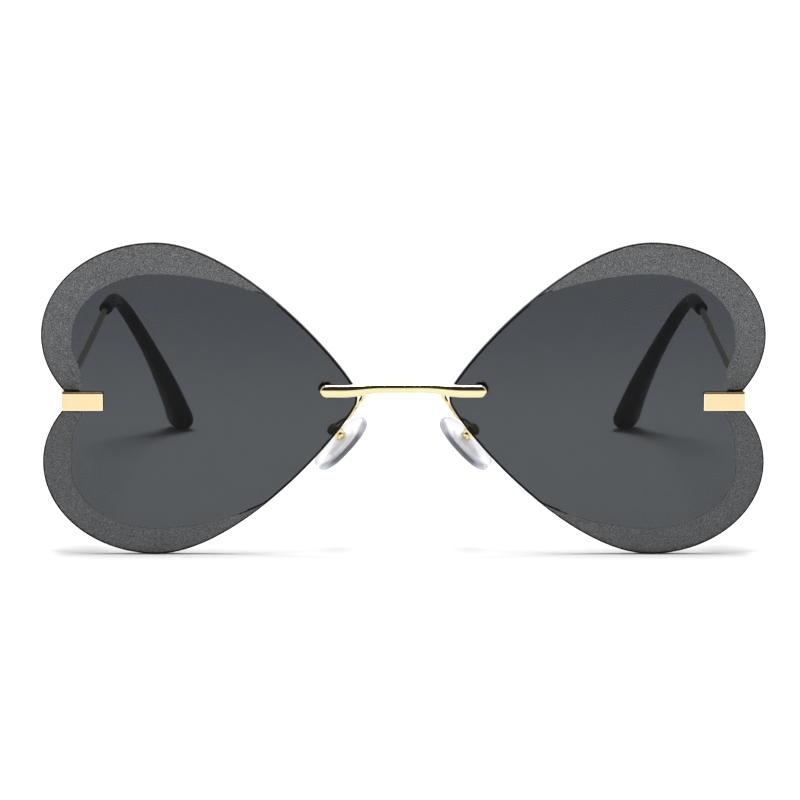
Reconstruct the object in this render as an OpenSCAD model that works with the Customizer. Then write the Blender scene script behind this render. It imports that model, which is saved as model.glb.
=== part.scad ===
// Rimless sunglasses with sideways heart lenses, a gold bridge bar and wire temples.
// Millimetres. +Z is up and the wearer looks along -Y. The part stands on the lower lobes
// and the temple tips, with its origin under the middle of its box.
// Each side piece is drawn for the +X side and mirrored for the other one.

/* [Lenses] */
// Width of one lens, from its blunt nose point to its outer lobes
lens_w = 65.5; // [60:0.5:72]
// Height of one lens over both lobes
lens_h = 65.6; // [62:0.2:72]
// Thickness of a lens
lens_t = 2.2; // [1.8:0.1:2.8]
// Gap between the two nose points
lens_gap = 19; // [17:0.5:22]
// Distance from the outermost edge of a lobe in to its crest
lobe_run = 23.6; // [22:0.2:26]
// Height of the outermost edge of a lobe above the middle line
lobe_rise = 13.4; // [12:0.2:14]
// Radius of the blunt nose point
nose_r = 4; // [3:0.1:5]
// Height of the nose point above the middle line
nose_rise = 0.5; // [0:0.1:0.8]
// Slope of the lens edge where it meets the nose point, in degrees
nose_slope = 62; // [58:1:66]
// Pull of the side curve at the crest of the lobe
crest_pull = 16.5; // [14:0.5:19]
// Pull of the side curve at the nose point
nose_pull = 8; // [6:0.5:10]

/* [Frosted bevel] */
// Width of the frosted bevel round a lobe
bevel_w = 6.4; // [4:0.2:8]
// Width of the frosted bevel beside the cleft
cleft_bevel_w = 3.7; // [2.5:0.1:5]
// Depth of the bevel at the lens edge
bevel_drop = 0.8; // [0.4:0.1:1.2]
// Distance from the crest over which the bevel fades out along the side
fade_run = 24; // [18:0.5:28]
// Width of the small break on the other edges
edge_break = 0.25; // [0.15:0.05:0.4]

/* [Bridge] */
// Distance from an inner stud out to the end of the bridge bar
bar_over = 1.15; // [1.1:0.05:1.6]
// Depth of the bar from front to back
bar_d = 1.9; // [1.5:0.1:2.4]
// Height of the bar's thick ends
bar_end_h = 2.8; // [2.4:0.1:3.2]
// Height of the bar at its middle
bar_mid_h = 2; // [1.6:0.05:2.4]
// Rise of the bar's middle over its ends
bar_arch = 0.7; // [0:0.05:1.5]
// Height of the bar's ends above the middle line of the lenses
bar_z = 2; // [1.4:0.05:2.5]
// Width of the soldered lug behind the bar that butts on a nose point
lug_w = 1.8; // [1.6:0.1:2.2]
// Height of that lug
lug_h = 1.6; // [1.4:0.1:2]

/* [Lens fasteners] */
// Radius of a stud
stud_r = 0.6; // [0.5:0.05:0.7]
// Radius of the clear sleeve of a bushing
bush_r = 0.95; // [0.9:0.05:1.1]
// Radius of a washer and of a bushing's flange
washer_r = 1.5; // [1.3:0.05:1.6]
// Thickness of a washer
washer_t = 0.3; // [0.2:0.05:0.4]
// Radius of a cap nut over its corners
nut_r = 1.6; // [1.4:0.05:1.7]
// Height of a cap nut's flats
nut_h = 1.5; // [1.3:0.1:2]
// Height of a cap nut's dome
dome_h = 0.9; // [0.7:0.1:1.2]
// Distance from the nose point of a lens to its inner stud
inner_stud_in = 6.7; // [6:0.1:7.4]
// Distance from the cleft of a lens in to its outer stud
outer_stud_in = 3.9; // [3.8:0.1:4.4]

/* [End pieces] */
// Length of the front plate of an end piece
plate_w = 8.7; // [8.2:0.1:9.4]
// Height of the front plate
plate_h = 4.1; // [3.8:0.1:4.6]
// Thickness of the front plate
plate_t = 1.1; // [0.9:0.05:1.4]
// Radius of the plate's corners
plate_r = 0.4; // [0.2:0.05:0.6]
// Distance from the cleft out to the plate's outer end
plate_over = 2.3; // [2.2:0.1:2.6]
// Height of the plate's middle below the middle line of the lenses
plate_drop = 0.2; // [0:0.1:1]
// Width of the leg that passes back through the cleft
leg_w = 3.3; // [3:0.1:3.6]
// Distance from the lens front back to the end of the leg
leg_l = 6.2; // [5.8:0.1:6.4]
// Thickness of the outer stop wall beside the hinge
wall_t = 0.35; // [0.35:0.05:0.6]

/* [Hinges] */
// Distance from the end of the leg back to the hinge pin
hinge_back = 2.3; // [2.1:0.1:3.1]
// Distance from the cleft out to the hinge pin
hinge_over = 0.7; // [0.6:0.1:1]
// Radius of the hinge knuckles
knuckle_r = 1.45; // [1.4:0.05:1.7]
// Height of the temple's knuckle
knuckle_h = 1.3; // [1.1:0.05:1.5]
// Radius of the hinge screw
pin_r = 0.6; // [0.5:0.05:0.7]
// Radius of the hinge screw's head
head_r = 1.15; // [1:0.05:1.3]
// Height of the hinge screw's head
head_h = 0.5; // [0.4:0.05:0.6]
// Outward lean of the hinge pins, in degrees, which lifts a folded temple
hinge_lean = 3.5; // [3:0.5:5]
// Running clearance of what turns on a pin
running_gap = 0.04; // [0.02:0.01:0.08]
// Clearance of pieces that are fitted, soldered or screwed together
fit_gap = 0.02; // [0.01:0.01:0.04]
// Side clearance of pieces that move past each other
side_gap = 0.06; // [0.04:0.01:0.1]

/* [Temples] */
// Radius of the temple wire
wire_r = 0.6; // [0.55:0.05:0.75]
// Distance of the wire outwards from the hinge pin
wire_out = 1.6; // [1.2:0.1:1.7]
// Inward toe of the temple, in degrees
temple_toe = 1.2; // [0:0.1:2]
// Upward pitch of the temple towards the ear, in degrees
temple_pitch = 1.5; // [0.8:0.1:1.8]
// Length of the wire from its collar to the ear bend
temple_l = 102; // [98:1:110]
// Radius of the ear bend
ear_r = 11; // [10:0.5:15]
// Inward turn of the sleeve in front of the ear bend, in degrees
sleeve_turn = 3.5; // [0:0.5:5]
// Angle of the ear bend, in degrees
ear_bend = 63; // [58:0.5:70]
// Inward cant of the tip behind the ear, in degrees
ear_cant = 25.5; // [22:0.5:30]
// Outward flare of the tip, over a fall of half the lens height
tip_flare = 3.1; // [0:0.1:3.8]
// Wall of the collar that holds the wire
collar_t = 0.45; // [0.35:0.05:0.5]
// Length of the collar
collar_l = 4.5; // [3.5:0.1:5.5]
// Thickness of the collar's closed front
seat_t = 0.7; // [0.5:0.05:0.9]
// Length of the sleeve in front of the ear bend
sleeve_l = 10; // [6:0.5:12]
// Radius of the sleeve at its front end
sleeve_r = 1.5; // [1.4:0.05:1.7]
// Broad width of the tip near its end
tip_w = 8.2; // [7:0.1:9]
// Thin width of the tip near its end
tip_t = 4.4; // [3.8:0.1:4.8]
// Twist of the tip's broad side towards the front, in degrees
tip_twist = 46; // [30:1:60]
// Length of the tip's rounded end
tip_round = 3.4; // [2.8:0.1:4]
// Length of wire in the tip below the ear bend
core_l = 20; // [16:0.5:24]

/* [Nose pads] */
// Length of a nose pad
pad_l = 14.6; // [13.6:0.1:15.4]
// Width of a nose pad
pad_w = 6.8; // [6.6:0.1:8]
// Thickness of a nose pad
pad_t = 2.4; // [2.2:0.1:2.8]
// Distance of a pad's middle from the middle of the bridge
pad_x = 13; // [12.5:0.1:13.5]
// Distance from the lens front back to a pad's middle
pad_y = 9.5; // [9:0.1:10.5]
// Depth of a pad's middle below the middle line of the lenses
pad_drop = 11; // [10.6:0.1:12]
// Outward splay of a pad's lower end, in degrees
pad_splay = 44; // [40:1:48]
// Turn of a pad's face towards the wearer, in degrees
pad_turn = 30; // [26:1:34]
// Thickness of the core plate in a pad
core_t = 0.6; // [0.5:0.05:0.8]
// Thickness of the core's lug
eye_t = 1.1; // [0.9:0.05:1.3]
// Radius of the core's lug round the screw
eye_r = 0.9; // [0.85:0.05:1.05]
// Radius of the pad screw
pad_pin_r = 0.4; // [0.35:0.05:0.45]
// Radius of the pad screw's head
pad_head_r = 0.7; // [0.6:0.05:0.8]
// Distance of the pad box up from the middle of its pad
box_up = 1.3; // [0.6:0.1:1.6]
// Radius of the boss that joins the pad arm to its box
boss_r = 1.35; // [1.2:0.05:1.5]
// Length of that boss
boss_l = 1.1; // [1:0.1:1.6]
// Thickness of the walls of a pad box
box_t = 0.4; // [0.35:0.05:0.55]
// Radius of the pad arm's wire
arm_r = 0.5; // [0.4:0.05:0.55]

/* [Hidden] */
$fn = 48;

gold = "#e8c77a";
tint = "#4e5153";
// Overrun of a cut past the face that it opens
over = bar_d / 10;

// Where the bar starts to swell and how far it swells on, as shares of its length
swell_shares = [0.12, 0.25];
// Powers that shape the bar's section across and up: its front is rounder than its back
front_powers = [0.85, 0.95];
back_powers = [0.45, 0.6];
// Width of the bevel in the corner of the cleft
corner_share = 0.5;
// Least depth and height of the bar's blunt ends
blunt_shares = [0.7, 0.2];
// Depth that a stud is sunk into the bar
sink_share = 0.6;
// Where the pad arm stands on its lug
arm_seat_share = 0.7;
// Insets and places of a pad's rings, as shares of its thickness
pad_ring_shares = [
    [0.5, -0.5], [0.28, -0.43], [0.1, -0.28], [0, -0.05], [0.03, 0.2], [0.13, 0.4], [0.26, 0.5]
];
// How much broader the pad's lower end is
egg_share = 0.1;
// Powers that shape a pad's outline across and up
pad_powers = [0.85, 0.92];
// Length and width of a core plate in its pad
core_shares = [0.55, 0.42];
// Room between the pad box's mouth and the screw, as a share of the lug's radius
mouth_share = 0.75;
// Route of a pad arm, as shares of the way from its lug to the middle of the boss
arm_shares = [
    [0, 0, 0], [0.07, 0.1, 0.14], [0.32, 0.62, 0.45], [0.5, 0.88, 0.68], [0.78, 0.97, 0.81], [1, 1, 1]
];
// Rounding of the boss's rim, as a share of its length
boss_round_share = 0.3;
// Width of a screw's slot
slot_share = 0.5;
// Height of the stop lug and width of the web on the temple's knuckle
stop_share = 0.55;
web_share = 0.6;
// Part of the ear bend that keeps the sleeve's own width
even_share = 0.6;
// Powers that shape how the tip broadens and how fast it twists
swell_power = 1.5;
twist_rate = 1.4;
// Narrowing and length of the lip at the sleeve's mouth
lip_share = 0.875;
lip_run_share = 1 / 6;
// Keeps the last ring of a round end open
least_cap = 0.001;

// Points along each stretch of a lens outline
lobe_steps = 44;
side_steps = 34;
nose_steps = 7;
// Rings and sides of the swept pieces
bar_steps = 36;
bar_sides = 20;
arm_steps = 5;
arm_sides = 12;
bend_steps = 12;
tip_steps = 11;
round_steps = 8;
tip_sides = 24;
bore_sides = 12;
pad_sides = 40;

outer_x = lens_gap / 2 + lens_w;
crest_x = outer_x - lobe_run;
lobe_r = lens_h / 2 - lobe_rise;
cleft_turn = asin(lobe_rise / lobe_r);
cleft_x = crest_x + lobe_run * cos(cleft_turn);
stud_x = [lens_gap / 2 + inner_stud_in, cleft_x - outer_stud_in];
stud_z = [bar_z, -plate_drop];
bar_l = 2 * (stud_x[0] + bar_over);
nut_y = lens_t + 2 * washer_t;
plate_x = cleft_x + plate_over - plate_w / 2;
leg_in = plate_x + plate_w / 2 - leg_w;
hinge_x = cleft_x + hinge_over;
hinge_y = leg_l + hinge_back;
wall_in = hinge_x + knuckle_r + side_gap + plate_h / 2 * sin(hinge_lean);
wire_x = hinge_x + wire_out;
collar_r = wire_r + collar_t;
collar_y = knuckle_r + collar_t;
knuckle_gap = knuckle_h + 2 * side_gap;
stack_h = plate_h - 2 * knuckle_r * sin(hinge_lean);

function mixed(a, b, t) = a + (b - a) * t;
function clamped(t) = max(0, min(1, t));
function eased(t) = clamped(t) * clamped(t) * (3 - 2 * clamped(t));
function unit(v) = v / norm(v);
function bezier(p, t) =
    let (s = 1 - t) s * s * s * p[0] + 3 * s * s * t * p[1] + 3 * s * t * t * p[2] + t * t * t * p[3];
// Point on the curve through p1 and p2, with p0 and p3 beside them
function spline(p0, p1, p2, p3, t) =
    p1 + (p2 - p0) * t / 2 + (2 * p0 - 5 * p1 + 4 * p2 - p3) * t * t / 2
    + (3 * p1 - p0 - 3 * p2 + p3) * t * t * t / 2;
function signed_power(value, power) = sign(value) * pow(abs(value), power);

// The part stands on the floor, in the middle of its own depth
module placed() {
    translate([0, (bar_d - back_y) / 2, lens_h / 2]) children();
}
module mirrored(way) {
    if (way < 0) mirror([1, 0, 0]) children();
    else children();
}
module side(way) {
    placed() mirrored(way) children();
}

// Skin over rings of equal length, closed with a fan at each end
module skin(rings) {
    n = len(rings[0]);
    last = len(rings) - 1;
    points = [for (ring = rings) each ring];
    walls = [for (k = [0:last - 1], i = [0:n - 1])
        let (j = (i + 1) % n, a = k * n + i, b = k * n + j)
        each [[a, a + n, b + n], [a, b + n, b]]];
    ends = [[for (i = [0:n - 1]) i], [for (i = [n - 1:-1:0]) last * n + i]];
    polyhedron(points, concat(ends, walls));
}

// Upper half of the heart outline, from the cleft over the lobe to the nose point.
// Each entry is x, z and the width of the bevel there.
function nose_corner() =
    [lens_gap / 2 + nose_r - nose_r * sin(nose_slope), nose_r * cos(nose_slope)];
function side_pull() = [
    [crest_x, lens_h / 2],
    [crest_x - crest_pull, lens_h / 2],
    nose_corner() + nose_pull * [cos(nose_slope), sin(nose_slope)],
    nose_corner()
];
function fade(x) =
    max(edge_break, bevel_w * cos(90 * clamped((crest_x - x) / fade_run)));
function half_outline() = concat(
    [for (i = [0:lobe_steps - 1]) let (a = mixed(-cleft_turn, 90, i / lobe_steps))
        [crest_x + lobe_run * cos(a), lobe_rise + lobe_r * sin(a),
         mixed(cleft_bevel_w, bevel_w, eased((a + cleft_turn) / cleft_turn))]],
    [for (i = [0:side_steps - 1]) let (p = bezier(side_pull(), i / side_steps))
        [p[0], p[1], fade(p[0])]],
    [for (i = [0:nose_steps]) let (a = mixed(90 - nose_slope, 0, i / nose_steps))
        [lens_gap / 2 + nose_r * (1 - cos(a)), nose_r * sin(a), edge_break]]
);
half = half_outline();
half_n = len(half);
// Lifts a point of the outline the more, the closer it is to the nose point
function risen(p, up) =
    [p[0], up * p[1] + nose_rise * clamped((crest_x - p[0]) / (crest_x - lens_gap / 2)), p[2]];
outline = concat([for (p = half) risen(p, 1)], [for (i = [half_n - 2:-1:1]) risen(half[i], -1)]);
ring_n = len(outline);

function flat(p) = [p[0], p[1]];
function inward(i) =
    let (d = flat(outline[(i + 1) % ring_n]) - flat(outline[(i + ring_n - 1) % ring_n]))
    unit([-d[1], d[0]]);
function outline_ring(inset, y) =
    [for (i = [0:ring_n - 1]) let (p = flat(outline[i]) + inward(i) * inset) [p[0], y, p[1]]];
function drop(width) = mixed(edge_break, bevel_drop, clamped(width / bevel_w));
function bevel_edge() =
    [for (p = outline) [p[0], drop(p[2]), p[1]]];
function bevel_top() =
    [for (i = [0:ring_n - 1])
        let (w = outline[i][2] * (i == 0 ? corner_share : 1), p = flat(outline[i]) + inward(i) * w)
        [p[0], 0, p[1]]];

module lens_blank() {
    skin([
        outline_ring(edge_break, lens_t),
        outline_ring(0, lens_t - edge_break),
        bevel_edge(),
        bevel_top()
    ]);
}

module lens(way) {
    color(tint, 0.8) side(way) difference() {
        lens_blank();
        for (i = [0, 1])
            translate([stud_x[i], -over, stud_z[i]]) rotate([-90, 0, 0])
                cylinder(r = bush_r + fit_gap, h = lens_t + 2 * over);
        translate([leg_in - side_gap, -over, -plate_drop - plate_h / 2 - side_gap])
            cube([lobe_run, lens_t + 2 * over, plate_h + 2 * side_gap]);
    }
}
module lens_left() { lens(-1); }
module lens_right() { lens(1); }

// One ring of the bar at x, with a softened square section
function bar_ring(x) =
    let (r = bar_end_h / 2, left = bar_l / 2 - abs(x),
         t = eased((abs(x) / bar_l - swell_shares[0]) / swell_shares[1]),
         cap = left >= r ? 1 : sqrt(max(0, 1 - pow(1 - left / r, 2))),
         d = bar_d * max(cap, blunt_shares[0]),
         h = mixed(bar_mid_h, bar_end_h, t) * max(cap, blunt_shares[1]),
         z = bar_z + bar_arch * (1 - t))
    [for (i = [0:bar_sides - 1])
        let (a = 360 * (i + 0.5) / bar_sides, powers = cos(a) < 0 ? front_powers : back_powers)
        [x,
         -d / 2 + d / 2 * signed_power(cos(a), powers[0]),
         z + h / 2 * signed_power(sin(a), powers[1])]];
function bar_x(i) = bar_l / 2 * sin(180 * i / bar_steps - 90);

module bridge() {
    lug_x = lens_gap / 2 - lug_w - side_gap;
    color(gold) placed() difference() {
        union() {
            skin([for (i = [0:bar_steps]) bar_ring(bar_x(i))]);
            for (way = [-1, 1]) mirrored(way)
                translate([lug_x, -bar_d / 2, bar_z - lug_h / 2])
                    cube([lug_w, bar_d / 2 + lens_t, lug_h]);
        }
        for (way = [-1, 1]) mirrored(way)
            translate([stud_x[0], -bar_d * sink_share, stud_z[0]]) rotate([-90, 0, 0])
                cylinder(r = stud_r + fit_gap, h = bar_d);
    }
}

// Places a child at each of the four studs, with its axis running back
module at_studs() {
    for (way = [-1, 1], i = [0, 1])
        side(way) translate([stud_x[i], 0, stud_z[i]]) rotate([-90, 0, 0]) children();
}

module mount_studs() {
    color(gold) at_studs()
        translate([0, 0, -plate_t / 2]) cylinder(r = stud_r, h = plate_t / 2 + nut_y + nut_h);
}

module lens_bushings() {
    color("white", 0.6) at_studs() difference() {
        union() {
            translate([0, 0, fit_gap]) cylinder(r = bush_r, h = lens_t - fit_gap + washer_t / 2);
            translate([0, 0, lens_t]) cylinder(r = washer_r, h = washer_t);
        }
        translate([0, 0, -over]) cylinder(r = stud_r + fit_gap, h = nut_y + over);
    }
}

module mount_washers() {
    color(gold) at_studs() translate([0, 0, lens_t + washer_t]) difference() {
        cylinder(r = washer_r, h = washer_t);
        translate([0, 0, -over]) cylinder(r = stud_r + fit_gap, h = washer_t + 2 * over);
    }
}

module cap_nuts() {
    flat_r = nut_r * cos(30);
    color(gold) at_studs() translate([0, 0, nut_y]) difference() {
        union() {
            cylinder(r = nut_r, h = nut_h, $fn = 6);
            translate([0, 0, nut_h]) rotate_extrude() intersection() {
                translate([0, dome_h - flat_r]) circle(r = flat_r);
                square([flat_r, dome_h]);
            }
        }
        translate([0, 0, -over]) cylinder(r = stud_r + fit_gap, h = nut_h + fit_gap + over);
    }
}

// The frame of a nose pad: x' points away from the nose, y' back and z' up the pad
module on_pad() {
    translate([pad_x, pad_y, -pad_drop]) rotate([0, -pad_splay, 0]) rotate([0, 0, -pad_turn])
        children();
}
function pad_out() =
    [cos(pad_turn) * cos(pad_splay), -sin(pad_turn), cos(pad_turn) * sin(pad_splay)];
function pad_up() = [-sin(pad_splay), 0, cos(pad_splay)];
eye_x = pad_t / 2 + eye_r + side_gap * 2;
box_back = eye_x + eye_r + side_gap + box_t;
inner_w = eye_t + 2 * side_gap;
box_w = inner_w + 2 * box_t;

// Pad outline, shrunk by an inset: an egg with its broad end down
function pad_ring(inset, x) =
    [for (i = [0:pad_sides - 1]) let (a = 360 * i / pad_sides)
        [x,
         (pad_w / 2 - inset) * signed_power(cos(a), pad_powers[0]) * (1 - egg_share * sin(a)),
         (pad_l / 2 - inset) * signed_power(sin(a), pad_powers[1])]];

module pad_core_shape(gap) {
    core_w = pad_w * core_shares[1];
    flat_l = pad_l * core_shares[0] - core_w;
    translate([-gap, 0, 0]) rotate([0, 90, 0]) union() {
        for (end = [-1, 1]) translate([end * flat_l / 2, 0, 0])
            cylinder(r = core_w / 2 + gap, h = core_t + 2 * gap);
        translate([-flat_l / 2, -core_w / 2 - gap, 0])
            cube([flat_l, core_w + 2 * gap, core_t + 2 * gap]);
    }
    translate([core_t / 2, -eye_t / 2 - gap, box_up - eye_r - gap])
        cube([eye_x - core_t / 2, eye_t + 2 * gap, 2 * eye_r + 2 * gap]);
}

module pad_core(way) {
    color("white", 0.7) side(way) on_pad() difference() {
        union() {
            pad_core_shape(0);
            translate([eye_x, eye_t / 2, box_up]) rotate([90, 0, 0])
                cylinder(r = eye_r, h = eye_t);
        }
        translate([eye_x, eye_t / 2 + over, box_up]) rotate([90, 0, 0])
            cylinder(r = pad_pin_r + running_gap, h = eye_t + 2 * over);
    }
}
module pad_core_left() { pad_core(-1); }
module pad_core_right() { pad_core(1); }

module nose_pad(way) {
    color("white", 0.5) side(way) on_pad() difference() {
        skin([for (share = pad_ring_shares) pad_ring(pad_t * share[0], pad_t * share[1])]);
        pad_core_shape(side_gap);
    }
}
module nose_pad_left() { nose_pad(-1); }
module nose_pad_right() { nose_pad(1); }

// A bent sheet channel that holds the core's eye between two cheeks
module pad_box(way) {
    box_h = 2 * eye_r + box_t;
    front_x = eye_x - eye_r * mouth_share;
    color(gold) side(way) on_pad() translate([0, 0, box_up]) difference() {
        translate([front_x, -box_w / 2, -box_h / 2]) cube([box_back - front_x, box_w, box_h]);
        translate([front_x - over, -inner_w / 2, -box_h / 2 - over])
            cube([box_back - box_t - front_x + over, inner_w, box_h + 2 * over]);
        translate([eye_x, box_w / 2 + over, 0]) rotate([90, 0, 0])
            cylinder(r = pad_pin_r + fit_gap, h = box_w + 2 * over);
    }
}
module pad_box_left() { pad_box(-1); }
module pad_box_right() { pad_box(1); }

// A slotted screw round the origin, with its shank of length l centred there
module slotted_screw(r, l, top_r, top_h) {
    slot_w = r * slot_share;
    difference() {
        union() {
            translate([0, 0, -l / 2]) cylinder(r = r, h = l + top_h / 2);
            translate([0, 0, l / 2]) cylinder(r = top_r, h = top_h);
        }
        translate([-top_r - over, -slot_w / 2, l / 2 + top_h / 2])
            cube([2 * top_r + 2 * over, slot_w, top_h]);
    }
}

module pad_screws() {
    color(gold) for (way = [-1, 1]) side(way) on_pad() translate([eye_x, 0, box_up])
        rotate([90, 0, 0]) slotted_screw(pad_pin_r, box_w, pad_head_r, pad_pin_r);
}

// The wire of a pad arm runs from the lug down and back into a round boss behind the box
arm_start = [lens_gap / 2 - side_gap - lug_w * arm_seat_share, bar_d / 2, bar_z - lug_h / 2];
arm_end = [pad_x, pad_y, -pad_drop] + pad_up() * box_up + pad_out() * (box_back + boss_l / 2);
function arm_knot(i) =
    let (last = len(arm_shares) - 1, share = arm_shares[min(i, last)])
    i < 0 ? arm_start + [0, 0, arm_r * 2]
    : i > last ? arm_knot(last) * 2 - arm_knot(last - 1)
    : [for (k = [0:2]) mixed(arm_start[k], arm_end[k], share[k])];
function arm_path() = concat(
    [for (i = [0:len(arm_shares) - 2], k = [0:arm_steps - 1])
        spline(arm_knot(i - 1), arm_knot(i), arm_knot(i + 1), arm_knot(i + 2), k / arm_steps)],
    [arm_end]
);
// A way that no part of a pad arm follows
arm_aside = [0, 1, 0.3];
// A round ring at p, square to the way d
function round_ring(p, d, r, sides) =
    let (u = unit(cross(d, arm_aside)), v = cross(d, u))
    [for (i = [0:sides - 1]) p + r * (u * cos(360 * i / sides) + v * sin(360 * i / sides))];

module pad_arm(way) {
    path = arm_path();
    last = len(path) - 1;
    boss_round = boss_l * boss_round_share;
    color(gold) side(way) union() {
        skin([for (i = [0:last])
            round_ring(path[i],
                i == 0 ? [0, 0, -1] : unit(path[min(i + 1, last)] - path[i - 1]),
                arm_r, arm_sides)]);
        on_pad() translate([box_back + fit_gap, 0, box_up]) rotate([0, 90, 0])
            rotate_extrude() polygon([
                [0, 0],
                for (a = [0:30:90])
                    [boss_r - boss_round * (1 - sin(a)), boss_round * (1 - cos(a))],
                for (a = [0:30:90])
                    [boss_r - boss_round * (1 - cos(a)), boss_l - boss_round * (1 - sin(a))],
                [0, boss_l]
            ]);
    }
}
module pad_arm_left() { pad_arm(-1); }
module pad_arm_right() { pad_arm(1); }

module round_plate(w, h, t, r) {
    linear_extrude(t) union() {
        translate([-w / 2 + r, -h / 2]) square([w - 2 * r, h]);
        translate([-w / 2, -h / 2 + r]) square([w, h - 2 * r]);
        for (x = [-1, 1], y = [-1, 1])
            translate([x * (w / 2 - r), y * (h / 2 - r)]) circle(r = r);
    }
}

module end_piece(way) {
    plate_out = plate_x + plate_w / 2;
    wall_out = wall_in + wall_t;
    flare_y = lens_t + plate_t;
    color(gold) side(way) translate([0, 0, -plate_drop]) difference() {
        union() {
            translate([plate_x, 0, 0]) rotate([90, 0, 0])
                round_plate(plate_w, plate_h, plate_t, plate_r);
            translate([0, 0, -plate_h / 2]) linear_extrude(plate_h) polygon([
                [leg_in, -plate_t / 2],
                [plate_out - plate_r, -plate_t / 2],
                [plate_out, 0],
                [plate_out, lens_t],
                [wall_out, flare_y],
                [wall_out, hinge_y - side_gap],
                [wall_in, hinge_y - side_gap],
                [wall_in, leg_l],
                [leg_in, leg_l]
            ]);
        }
        translate([stud_x[1], -plate_t / 2 - fit_gap, 0]) rotate([-90, 0, 0])
            cylinder(r = stud_r + fit_gap, h = plate_t);
    }
}
module end_piece_left() { end_piece(-1); }
module end_piece_right() { end_piece(1); }

// The frame of a hinge: its z' runs up the pin
module on_hinge() {
    translate([hinge_x, hinge_y, -plate_drop]) rotate([0, hinge_lean, 0]) children();
}

module front_hinge(way) {
    leaf_h = (stack_h - knuckle_gap) / 2;
    web_l = knuckle_r + 4 * side_gap;
    base_back = hinge_y - knuckle_r - 2 * side_gap;
    color(gold) side(way) difference() {
        union() {
            translate([hinge_x - knuckle_r, leg_l, -plate_drop - plate_h / 2])
                cube([2 * knuckle_r, base_back - leg_l, plate_h]);
            on_hinge() for (low = [-stack_h / 2, knuckle_gap / 2]) translate([0, 0, low]) {
                cylinder(r = knuckle_r, h = leaf_h);
                translate([-knuckle_r, -web_l, 0]) cube([2 * knuckle_r, web_l, leaf_h]);
            }
        }
        on_hinge() {
            translate([0, 0, -plate_h]) cylinder(r = pin_r + fit_gap, h = 2 * plate_h);
            translate([-2 * knuckle_r, -knuckle_r - side_gap, -knuckle_gap / 2])
                cube([4 * knuckle_r, 4 * knuckle_r, knuckle_gap]);
        }
    }
}
module front_hinge_left() { front_hinge(-1); }
module front_hinge_right() { front_hinge(1); }

module hinge_screws() {
    color(gold) for (way = [-1, 1]) side(way) on_hinge()
        slotted_screw(pin_r, stack_h, head_r, head_h);
}

module temple_hinge(way) {
    stop_h = plate_h * stop_share;
    web_w = 2 * knuckle_r * web_share;
    color(gold) side(way) difference() {
        union() {
            on_hinge() {
                translate([0, 0, -knuckle_h / 2]) cylinder(r = knuckle_r, h = knuckle_h);
                translate([-web_w / 2, 0, -knuckle_h / 2])
                    cube([web_w, collar_y + collar_t, knuckle_h]);
            }
            on_temple() rotate([-90, 0, 0]) cylinder(r = collar_r, h = collar_l);
            translate([wire_x, hinge_y + collar_y, -plate_drop - stop_h / 2])
                cube([wall_in + wall_t - wire_x, seat_t, stop_h]);
            translate([wall_in, hinge_y, -plate_drop - stop_h / 2])
                cube([wall_t, collar_y + seat_t, stop_h]);
        }
        on_hinge() translate([0, 0, -plate_h]) cylinder(r = pin_r + running_gap, h = 2 * plate_h);
        on_temple() translate([0, seat_t, 0]) rotate([-90, 0, 0])
            cylinder(r = wire_r + fit_gap, h = collar_l);
    }
}
module temple_hinge_left() { temple_hinge(-1); }
module temple_hinge_right() { temple_hinge(1); }

// The frame of a temple: y' runs along its wire from the front of the collar
temple_at = [wire_x, hinge_y + collar_y, -plate_drop];
module on_temple() {
    translate(temple_at) rotate([temple_pitch, 0, temple_toe]) children();
}
// The frame of the ear bend: y' runs on along the wire and -z' is the side it bends to
module on_bend() {
    on_temple() translate([0, temple_l - sleeve_l, 0]) rotate([0, 0, sleeve_turn])
        translate([0, sleeve_l, 0]) rotate([0, ear_cant, 0]) children();
}
arc_l = ear_r * ear_bend * PI / 180;
flare_l = lens_h / 2;
function bend_point(s) =
    let (a = ear_bend * clamped(s / arc_l), past = max(0, s - arc_l))
    s < 0 ? [0, s, 0]
    : [tip_flare * pow(past / flare_l, 2),
       ear_r * sin(a) + past * cos(ear_bend),
       -ear_r * (1 - cos(a)) - past * sin(ear_bend)];
function bend_way(s) = let (a = ear_bend * clamped(s / arc_l)) [0, cos(a), -sin(a)];

module temple_wire(way) {
    color(gold) side(way) union() {
        on_temple() translate([0, seat_t + fit_gap, 0]) rotate([-90, 0, 0])
            cylinder(r = wire_r, h = temple_l - sleeve_l - seat_t - fit_gap);
        on_bend() skin([for (s = core_stations) bore_ring(s, wire_r - fit_gap)]);
    }
}
module temple_wire_left() { temple_wire(-1); }
module temple_wire_right() { temple_wire(1); }

// The tip is swept along the bend: s runs from the sleeve's mouth at -sleeve_l to tip_end
even_l = arc_l * even_share;
function tip_ring(s, tip_end) =
    let (t = clamped((s - even_l) / (tip_end - even_l - tip_round)),
         end = clamped((s - tip_end + tip_round) / tip_round),
         cap = sqrt(max(least_cap, 1 - end * end)),
         broad = mixed(sleeve_r, tip_w / 2, pow(t, swell_power)) * cap,
         thin = mixed(sleeve_r, tip_t / 2, t) * cap,
         turn = tip_twist * eased(t * twist_rate),
         d = bend_way(s), up = [0, -d[2], d[1]], out = [1, 0, 0],
         u = out * sin(turn) + up * cos(turn), v = out * cos(turn) - up * sin(turn))
    [for (i = [0:tip_sides - 1]) let (a = 360 * i / tip_sides)
        bend_point(s) + u * broad * cos(a) + v * thin * sin(a)];
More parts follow.
